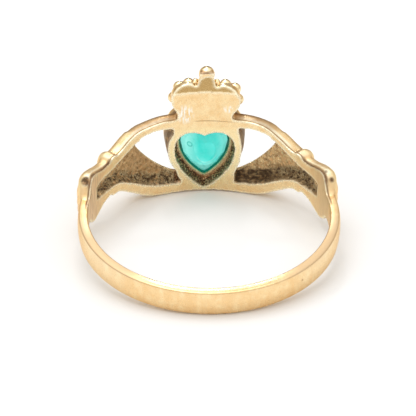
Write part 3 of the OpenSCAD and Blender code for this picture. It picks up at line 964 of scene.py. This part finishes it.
class Nodes:
    """Adds nodes to a material or a world, and links them by name."""

    def __init__(self, owner, shader="Principled BSDF"):
        owner.use_nodes = True
        self.owner = owner
        self.tree = owner.node_tree
        self.shader = self.tree.nodes[shader]

    def feed(self, socket, value):
        if isinstance(value, bpy.types.NodeSocket):
            self.tree.links.new(value, socket)
        else:
            socket.default_value = value

    def set(self, **values):
        for key, value in values.items():
            self.feed(self.shader.inputs[key.replace("_", " ")], value)

    def add(self, kind, inputs=(), **settings):
        node = self.tree.nodes.new("ShaderNode" + kind)
        for key, value in settings.items():
            setattr(node, key, value)
        for key, value in dict(inputs).items():
            self.feed(node.inputs[key], value)
        return node

    def attribute(self, name):
        return self.add("Attribute", attribute_name=name).outputs["Fac"]

    def math(self, operation, a, b=0.0, c=0.0, clamp=False):
        return self.add("Math", {0: a, 1: b, 2: c}, operation=operation, use_clamp=clamp).outputs[0]

    def size(self, value):
        return self.math("ABSOLUTE", value)

    def less(self, a, b):
        return self.math("SUBTRACT", a, b)

    def without(self, value):
        """What is left of 1."""
        return self.less(1.0, value)

    def times(self, product, *factors):
        for factor in factors:
            product = self.math("MULTIPLY", product, factor)
        return product

    def most(self, value, *others):
        for other in others:
            value = self.math("MAXIMUM", value, other)
        return value

    def times_plus(self, a, b, more):
        return self.math("MULTIPLY_ADD", a, b, more)

    def blend(self, share, a, b):
        """From the number a to the number b."""
        return self.times_plus(share, self.less(b, a), a)

    def mix(self, share, a, b):
        """From the colour a to the colour b."""
        return self.add("Mix", {0: share, 6: a, 7: b}, data_type="RGBA").outputs[2]

    def range(self, value, low, high, to_low=0.0, to_high=1.0):
        return self.add("MapRange", {"Value": value, "From Min": low, "From Max": high,
                                     "To Min": to_low, "To Max": to_high}).outputs["Result"]

    def between(self, value, none, full, full_end, none_end):
        """1 from full to full_end, falling off to 0 at none and at none_end."""
        return self.times(self.range(value, none, full), self.range(value, none_end, full_end))

    def noise(self, vector, scale, detail=3.0, roughness=0.5):
        return self.add("TexNoise", {"Vector": vector, "Scale": scale, "Detail": detail,
                                     "Roughness": roughness}).outputs["Fac"]

    def streaks(self, a, b, fine_a, fine_b, detail, roughness=0.5):
        """Noise on two lengths, finer along the first of them."""
        place = self.joined(self.times(a, fine_a), 0.0, self.times(b, fine_b))
        return self.noise(place, 1.0, detail, roughness)

    def upright_mm(self):
        """Object coordinates turned back to the upright ring, in millimetres."""
        place = self.add("TexCoord").outputs["Object"]
        return self.add("Mapping", {"Vector": place, "Rotation": (-TILT, 0, 0),
                                    "Scale": (1 / MM, 1 / MM, 1 / MM)}).outputs["Vector"]

    def split(self, vector):
        parts = self.add("SeparateXYZ", {0: vector})
        return parts.outputs["X"], parts.outputs["Y"], parts.outputs["Z"]

    def joined(self, x, y, z):
        return self.add("CombineXYZ", {0: x, 1: y, 2: z}).outputs[0]

    def length_from(self, a, b, centre_a, centre_b):
        flat = self.joined(self.less(a, centre_a), self.less(b, centre_b), 0.0)
        return self.add("VectorMath", {0: flat}, operation="LENGTH").outputs["Value"]

    def spot(self, a, b, centre_a, centre_b, half_a, half_b):
        """1 in an ellipse, falling off to 0 at its edge."""
        away_a = self.math("DIVIDE", self.less(a, centre_a), half_a)
        away_b = self.math("DIVIDE", self.less(b, centre_b), half_b)
        return self.range(self.length_from(away_a, away_b, 0.0, 0.0), 1.0, 0.45)


PALE_GOLD = (0.98, 0.765, 0.445, 1)
WARM_GOLD = (0.90, 0.62, 0.31, 1)
GLINT_GOLD = (1.0, 0.84, 0.51, 1)
TOP_EDGE_SHADE_GOLD = (0.74, 0.55, 0.33, 1)
EDGE_HIGHLIGHT_GOLD = (1.0, 0.92, 0.68, 1)
FRAME_SHEEN_GOLD = (1.0, 0.85, 0.50, 1)
BEVEL_SHADE_GOLD = (0.76, 0.55, 0.24, 1)
BAND_SIDE_SHEEN_GOLD = (1.0, 0.90, 0.68, 1)
BRUSH_SPARKLE_GOLD = (1.0, 0.97, 0.88, 1)
BROWN_PATINA = (0.30, 0.145, 0.06, 1)
GOLDEN_BROWN = (0.97, 0.66, 0.34, 1)
SEAT_BROWN = (0.52, 0.16, 0.06, 1)
BLACK_PATINA = (0.035, 0.02, 0.012, 1)
CUFF_LIT_TAN = (0.98, 0.83, 0.64, 1)
CUFF_SHADED_OLIVE = (0.80, 0.66, 0.44, 1)
SHEEN_GOLD = (0.9, 0.74, 0.55, 1)

# Marks of use, in the upright millimetres: middle across and up, and half their width and height. The
# brush-marked spots carry painted sparkle highlights. The speck's middle is measured round the band, from its
# back
BRUSH_SPARKLE_SPOTS = ((-1.45, 3.4, 0.75, 0.95), (1.72, 3.85, 0.42, 0.42))
SCRATCH = (0.35, 2.72, 2.5, 0.05)
SCRATCH_START = (-0.9, -0.5)
SPECK = (6.2, 0.17, 0.09, 0.11)

# Places on the head, in the upright millimetres, and from the finger outwards: the frame, painted paler, the
# stem, with its painted arch highlight, the painted shade line under the ball, the painted dark line, the
# bevel, painted darker, the cuffs' ends, where painted edge highlights are paler, the stone's seat
FRAME_Z = (-2.4, -1.2, 1.9, 2.3)
STEM_Y = (8.0, 8.2, 9.4, 9.6)
UNDER_BALL_Y = (8.0, 8.2, 9.4, 9.5)
UNDER_BALL_Z = (6.56, 6.60, 6.70, 6.76)
LINE_OUT = (HEAD_R + 0.05, HEAD_R + 0.09, HEAD_R + 0.15, HEAD_R + 0.23)
BEVEL_OUT = (HEAD_R + 0.02, HEAD_R + 0.06, HEAD_R + 0.5, HEAD_R + 0.6)
CUFF_OUT = (HEAD_R + 0.12, HEAD_R + 0.05)
NEAR_FINGER = (HEAD_R + 0.7, HEAD_R + 0.5)
SEAT_HALF_W = (2.35, 2.2)
SOOT_MOST = 0.93
GRAIN_DEPTH = 0.00002
PIT_DEPTH = 0.0004


def gold_metal(name):
    """Pale yellow gold: polished ridges, satin faces, brown patina where the skin doesn't rub, with painted
    highlights, painted reflections and painted shade.
    """
    gold = Nodes(bpy.data.materials.new(name))
    times, most, without, step, mix = gold.times, gold.most, gold.without, gold.range, gold.mix
    place = gold.upright_mm()
    x, y, z = gold.split(place)
    aside = gold.size(x)
    round_mm, out_mm, patina, cast, grime, rubbed_and_highlight = map(
        gold.attribute, ("round_mm", "out_mm", "patina", "rough_cast", "grime", "rubbed_and_highlight"))
    blotch = gold.noise(place, 1.8, 4.0, 0.6)
    speckle = gold.noise(place, 9.0, 3.0, 0.6)
    lump = gold.noise(place, 3.2, 2.0, 0.6)
    at_back = step(y, 0.0, -3.0)
    in_front = step(y, 7.5, 8.0)

    # Bare gold: blotches and satin streaks round the band; the band's sides and the frame painted paler as
    # painted reflection, and the upper edge painted duller at the sides as painted shade
    satin_streak = gold.streaks(round_mm, z, 1.6, 0.45, 3.0, 0.55)
    mottle = times(at_back, step(satin_streak, 0.4, 0.62))
    tone = mix(step(blotch, 0.35, 0.7), PALE_GOLD, WARM_GOLD)
    tone = mix(times(mottle, 0.85), tone, WARM_GOLD)
    # The band's sides painted paler: painted reflection
    tone = mix(times(step(aside, 5.5, 8.8, 0.0, 0.55), at_back), tone, BAND_SIDE_SHEEN_GOLD)
    # The band's upper edge painted duller at the sides: painted shade
    on_top_edge = times(step(z, 0.78, 0.86), step(aside, 4.0, 6.0), at_back)
    tone = mix(on_top_edge, tone, TOP_EDGE_SHADE_GOLD)
    # The frame painted paler and yellower: painted reflection
    in_frame = times(step(aside, 3.3, 2.9), gold.between(z, *FRAME_Z), in_front)
    tone = mix(times(in_frame, 0.6), tone, FRAME_SHEEN_GOLD)

    # Marks of use: brush-marked spots painted whitish as painted sparkle highlights, a scratch and a speck
    streak = gold.streaks(x, z, 4.5, 1.0, 3.0, 0.6)
    for spot in BRUSH_SPARKLE_SPOTS:
        brush_sparkle = times(gold.spot(x, z, *spot), in_front, step(streak, 0.48, 0.54))
        tone = mix(brush_sparkle, tone, BRUSH_SPARKLE_GOLD)
    scratch = times(gold.spot(x, z, *SCRATCH), in_front, step(x, *SCRATCH_START))
    speck = times(gold.spot(round_mm, z, *SPECK), at_back)
    tone = mix(times(most(scratch, speck), 0.7), tone, BROWN_PATINA)

    # Cuffs' ends painted tan, lighter on the left and more olive on the right as painted light and shade,
    # with darker stripes painted as the shade of flutes
    on_cuff = times(step(aside, 7.4, 8.4), step(y, 0.3, 0.8), step(out_mm, *CUFF_OUT))
    tan = mix(step(x, -1.0, 1.0), CUFF_LIT_TAN, CUFF_SHADED_OLIVE)
    tone = mix(times(on_cuff, 0.8), tone, tan)
    flute = step(gold.streaks(round_mm, z, 5.5, 0.5, 2.0), 0.46, 0.54)
    flute_shade = times(on_cuff, flute, step(x, -1.0, 1.0, 0.3, 0.1))
    tone = mix(flute_shade, tone, BROWN_PATINA)

    # Painted light and shade: a dark line round the head next to the finger as a painted dark reflection, the
    # crown's bevel painted darker with a painted highlight along its arch, and a painted shade line under the
    # ball
    dark_edge_reflection = times(gold.between(out_mm, *LINE_OUT), step(z, 4.4, 4.0), step(y, 0.3, 1.0),
                     step(z, -0.6, 0.2, 0.15, 0.8))
    across = gold.math("DIVIDE", gold.less(x, ARCH_X), ARCH_HALF_W)
    arch = most(without(times(across, across)), 0.0)
    above_arch = gold.less(z, gold.times_plus(arch, ARCH_H, ARCH_Z))
    on_bevel = times(step(z, 5.1, 5.25), gold.between(out_mm, *BEVEL_OUT), step(above_arch, 0.05, -0.05))
    tone = mix(times(on_bevel, 0.9), tone, BEVEL_SHADE_GOLD)
    arch_highlight = times(step(arch, 0.0, 0.1), gold.between(y, *STEM_Y), step(gold.size(above_arch), 0.09, 0.04))
    under_ball_shade = times(gold.between(z, *UNDER_BALL_Z), gold.between(y, *UNDER_BALL_Y))
    # The painted dark line and the painted shade under the ball join the patina, and the painted arch
    # highlight joins the edge highlights
    patina = most(patina, dark_edge_reflection, under_ball_shade)
    rubbed_and_highlight = most(times(rubbed_and_highlight, without(dark_edge_reflection)), arch_highlight)

    # Soot in the hollows' gutters and behind the stone, joined by the painted dark line round the head
    stain_and_shade = gold.math("MULTIPLY", patina, step(blotch, 0.25, 0.6, 0.6, 1.1), clamp=True)
    in_seat = times(cast, step(aside, *SEAT_HALF_W))
    spared = step(x, 2.0, 3.0, 0.2, 0.6)
    dark = times(grime, step(lump, 0.51, 0.6, 1.0, spared))
    sooted = times(grime, step(speckle, 0.50, 0.56, 1.0, 0.0))
    dark = most(gold.blend(in_seat, dark, sooted), times(dark_edge_reflection, 0.55))

    # Painted highlights on edges, lips and stripes, paler next to the finger, and browns, golden on the rough
    # casting
    near_finger = step(out_mm, *NEAR_FINGER)
    tone_with_highlights = mix(rubbed_and_highlight, tone, mix(near_finger, GLINT_GOLD, EDGE_HIGHLIGHT_GOLD))
    smooth = times(step(x, -1.0, -3.0, 0.0, 0.7), step(grime, 0.5, 0.1), step(x, -7.0, -5.5))
    patch = gold.math("ADD", step(gold.noise(place, 2.7, 4.0, 0.6), 0.45, 0.55),
                      step(x, 2.0, 3.5, 0.0, 0.35), clamp=True)
    brown = mix(times(cast, gold.blend(smooth, patch, 0.45)), BROWN_PATINA, GOLDEN_BROWN)
    brown = mix(times(in_seat, 0.85), brown, SEAT_BROWN)
    browned = mix(times(stain_and_shade, 0.8), tone_with_highlights, brown)

    # Painted glints, painted highlights on the lumps of the rough casting
    worm = without(gold.size(gold.times_plus(lump, 2.0, -1.0)))
    wormy = times(step(worm, 0.90, 0.95), without(in_seat))
    smothered = times(step(x, 2.0, 2.5), step(x, 5.8, 4.6, 0.1, 0.9), grime)
    glint = times(most(wormy, step(speckle, 0.56, 0.60)), without(smooth), cast,
                  step(blotch, 0.35, 0.55, 0.25, 1.0), without(smothered))
    sooty = times(dark, gold.less(SOOT_MOST, times(glint, 0.6)))
    gold.set(Base_Color=mix(sooty, mix(glint, browned, GLINT_GOLD), BLACK_PATINA))

    # Painted edge highlights are made half non-metal next to the finger and on the seat's lip so that they
    # read brighter; soot and the painted dark line aren't metal, and satin faces are rougher
    bare = gold.times_plus(times(rubbed_and_highlight, near_finger), -0.5, 1.0)
    bare = gold.times_plus(times(rubbed_and_highlight, in_seat), -0.4, bare)
    gold.set(Metallic=times(step(dark, 0.0, 1.0, 1.0, 0.15), bare))
    on_wrist = times(step(aside, 6.6, 7.2), step(z, 0.8, 1.0))
    satin = gold.times_plus(most(on_wrist, on_top_edge, on_cuff), 0.22, step(speckle, 0.3, 0.7, 0.2, 0.3))
    gold.set(Roughness=gold.times_plus(stain_and_shade, 0.22, gold.times_plus(glint, -0.2, satin)))
    fine = gold.add("Bump", {"Strength": 0.05, "Distance": GRAIN_DEPTH,
                             "Height": gold.noise(place, 16.0, 2.0, 0.5)})
    pits = gold.add("Bump", {"Strength": times(cast, 0.5), "Distance": PIT_DEPTH,
                             "Height": gold.times_plus(worm, 0.8, speckle), "Normal": fine.outputs["Normal"]})
    gold.set(Normal=pits.outputs["Normal"], Specular_Tint=SHEEN_GOLD)
    return gold.owner


DEEP_TEAL = (0.04, 0.87, 0.81, 1)
LIGHT_TEAL = (0.17, 0.94, 0.90, 1)
FACET_SHEEN_TEAL = (0.58, 0.99, 0.94, 1)
BOW_HIGHLIGHT_TEAL = (0.55, 1.0, 0.95, 1)
CORE_SHADE_GREEN = (0.0, 0.74, 0.64, 1)
INCLUSION_GREEN = (0.01, 0.28, 0.22, 1)
UNDERSIDE_SHADOW_GREEN = (0.0, 0.05, 0.03, 1)
DEEP_GLOW = (0.006, 0.27, 0.245, 1)
PALE_GLOW = (0.12, 1.0, 0.92, 1)

# In the upright millimetres: the inclusion's middle and radius, the pale bow's middle, radius and top,
# painted as a highlight, the core, painted darker as shade, and the stone's underside on the ledge, painted
# as shadow
INCLUSION, INCLUSION_R = (-1.1, 0.27), 0.17
BOW, BOW_R, BOW_TOP = (0.15, -0.55), 0.75, -0.6
CORE = (0.1, -0.45, 0.9, 0.8)
ON_LEDGE = (LEDGE_Y - 0.06, LEDGE_Y - 0.03, LEDGE_Y + 0.01, LEDGE_Y + 0.03)


def gem_glass(name):
    """Blue-green stone, clouded, with a painted glow, paler facets and a pale bow painted as reflections, a
    core painted darker as shade, a painted shadow where it sits on the ledge, and one ring-shaped inclusion.
    """
    gem = Nodes(bpy.data.materials.new(name))
    place = gem.upright_mm()
    x, y, z = gem.split(place)
    body = gem.mix(gem.range(gem.noise(place, 0.9, 3.0, 0.5), 0.35, 0.65), DEEP_TEAL, LIGHT_TEAL)
    # Facets painted paler: painted reflections
    pale = gem.most(gem.range(x, -0.4, -1.4), gem.range(x, 0.8, 1.7, 0.0, 0.8),
                    gem.range(z, -1.1, -2.0, 0.0, 0.8))
    body = gem.mix(pale, body, FACET_SHEEN_TEAL)
    # A pale bow painted along the keel: painted highlight
    bow = gem.range(gem.size(gem.less(gem.length_from(x, z, *BOW), BOW_R)), 0.1, 0.02)
    body = gem.mix(gem.times(gem.range(z, BOW_TOP, BOW_TOP - 0.3), bow, 0.6), body, BOW_HIGHLIGHT_TEAL)
    # The core painted darker: painted shade
    body = gem.mix(gem.times(gem.spot(x, z, *CORE), 0.5), body, CORE_SHADE_GREEN)
    # The underside on the ledge painted dark: painted shadow
    under = gem.between(y, *ON_LEDGE)
    body = gem.mix(under, body, UNDERSIDE_SHADOW_GREEN)
    ring_line = gem.range(gem.size(gem.less(gem.length_from(x, z, *INCLUSION), INCLUSION_R)), 0.06, 0.03)
    gem.set(Base_Color=gem.mix(gem.times(ring_line, 0.85), body, INCLUSION_GREEN))
    # Painted glow: emission, brighter on the paler facets and dark on the underside
    gem.set(Emission_Color=gem.mix(under, gem.mix(pale, DEEP_GLOW, PALE_GLOW), UNDERSIDE_SHADOW_GREEN))
    gem.set(Emission_Strength=0.2, Roughness=0.06, IOR=1.45, Transmission_Weight=0.62)
    return gem.owner


gold = gold_metal("polished_gold")
gem = gem_glass("blue_green_gem")
ring.data.materials.clear()
ring.data.materials.append(gold)
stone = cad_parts["heart_stone"]
for slot in stone.material_slots:
    slot.material = gem
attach(ring, "root")
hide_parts("ring_casting")


# Floor, light and camera

TABLE_Z = float(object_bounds()[0][2])
TABLE_WHITE = (0.90, 0.92, 0.945, 1)
TABLE_GREY = (0.56, 0.53, 0.50, 1)
TABLE_WHITE_R = 0.07
TABLE_GREY_R = 0.2


def matte_table(name):
    """White round the ring, and a warm grey further out, which the gold's edges mirror."""
    table = Nodes(bpy.data.materials.new(name))
    place = table.add("TexCoord").outputs["Object"]
    away = table.add("VectorMath", {0: place}, operation="LENGTH").outputs["Value"]
    share = table.range(away, TABLE_WHITE_R, TABLE_GREY_R)
    table.set(Base_Color=table.mix(share, TABLE_WHITE, TABLE_GREY), Roughness=0.9)
    return table.owner


deselect()
bpy.ops.mesh.primitive_plane_add(size=1.2, location=(0, 0, TABLE_Z))
floor = named("table_top")
settle()
floor.data.materials.append(matte_table("white_table"))


SKY = (1.12, 1.11, 1.09, 1)
HORIZON_BEHIND = (0.16, 0.11, 0.09, 1)
HORIZON_IN_FRONT = (0.62, 0.52, 0.42, 1)


def studio_world():
    """A white room, brightest overhead and darkest low down behind the ring."""
    world = bpy.context.scene.world or bpy.data.worlds.new("studio")
    bpy.context.scene.world = world
    room = Nodes(world, "Background")
    x, y, z = room.split(room.add("TexCoord").outputs["Generated"])
    straight = room.range(room.size(x), 0.25, 0.55, 1.0, 0.1)
    horizon = room.mix(room.times(room.range(y, 0.0, 0.85), straight), HORIZON_IN_FRONT, HORIZON_BEHIND)
    lift = room.less(z, room.times(room.most(y, 0.0), 0.48))
    room.set(Color=room.mix(room.range(lift, 0.05, 0.75), horizon, SKY))


studio_world()


def softbox(name, place, aim, size, power):
    bpy.ops.object.light_add(type="AREA", location=place)
    lamp = bpy.context.object
    lamp.name = lamp.data.name = name
    lamp.data.size = size
    lamp.data.energy = power
    lamp.rotation_euler = (Vector(aim) - Vector(place)).to_track_quat("-Z", "Y").to_euler()


softbox("key_behind", place=(0.0, 0.14, 0.14), aim=(0, 0.002, 0), size=0.012, power=0.02)
softbox("overhead", place=(-0.03, 0.03, 0.20), aim=(0, 0, 0), size=0.14, power=0.12)

# The camera was fitted to the upright ring, in its millimetres: height and side angle, roll, distance,
# and the point that it looks at, across and up in its own view
CAMERA_RISE = math.radians(36.98)
CAMERA_SIDE = math.radians(-2.5)
CAMERA_ROLL = math.radians(0.55)
CAMERA_AWAY = 150.0
CAMERA_AIM = (-0.073, 0.941)
FOCAL_PIXELS = 2096.0
PICTURE_PIXELS = 416.0
SENSOR_MM = 36.0


def photo_camera():
    back = Vector((math.sin(CAMERA_SIDE) * math.cos(CAMERA_RISE),
                   -math.cos(CAMERA_SIDE) * math.cos(CAMERA_RISE), math.sin(CAMERA_RISE)))
    level = Vector((math.cos(CAMERA_SIDE), math.sin(CAMERA_SIDE), 0))
    upward = back.cross(level)
    right = level * math.cos(CAMERA_ROLL) + upward * math.sin(CAMERA_ROLL)
    up = upward * math.cos(CAMERA_ROLL) - level * math.sin(CAMERA_ROLL)
    place = right * CAMERA_AIM[0] + up * CAMERA_AIM[1] + back * CAMERA_AWAY
    turn = Matrix((right, up, back)).transposed().to_4x4()
    tip = Matrix.Rotation(TILT, 4, "X")
    bpy.ops.object.camera_add()
    camera = bpy.context.object
    camera.name = camera.data.name = "photo_camera"
    camera.matrix_world = Matrix.Translation((tip @ place) * MM) @ tip @ turn
    camera.data.sensor_width = SENSOR_MM
    camera.data.lens = FOCAL_PIXELS / PICTURE_PIXELS * SENSOR_MM
    camera.data.clip_start = 0.001
    camera.data.clip_end = 10.0
    bpy.context.scene.camera = camera


photo_camera()
bpy.context.scene.view_settings.view_transform = "Standard"
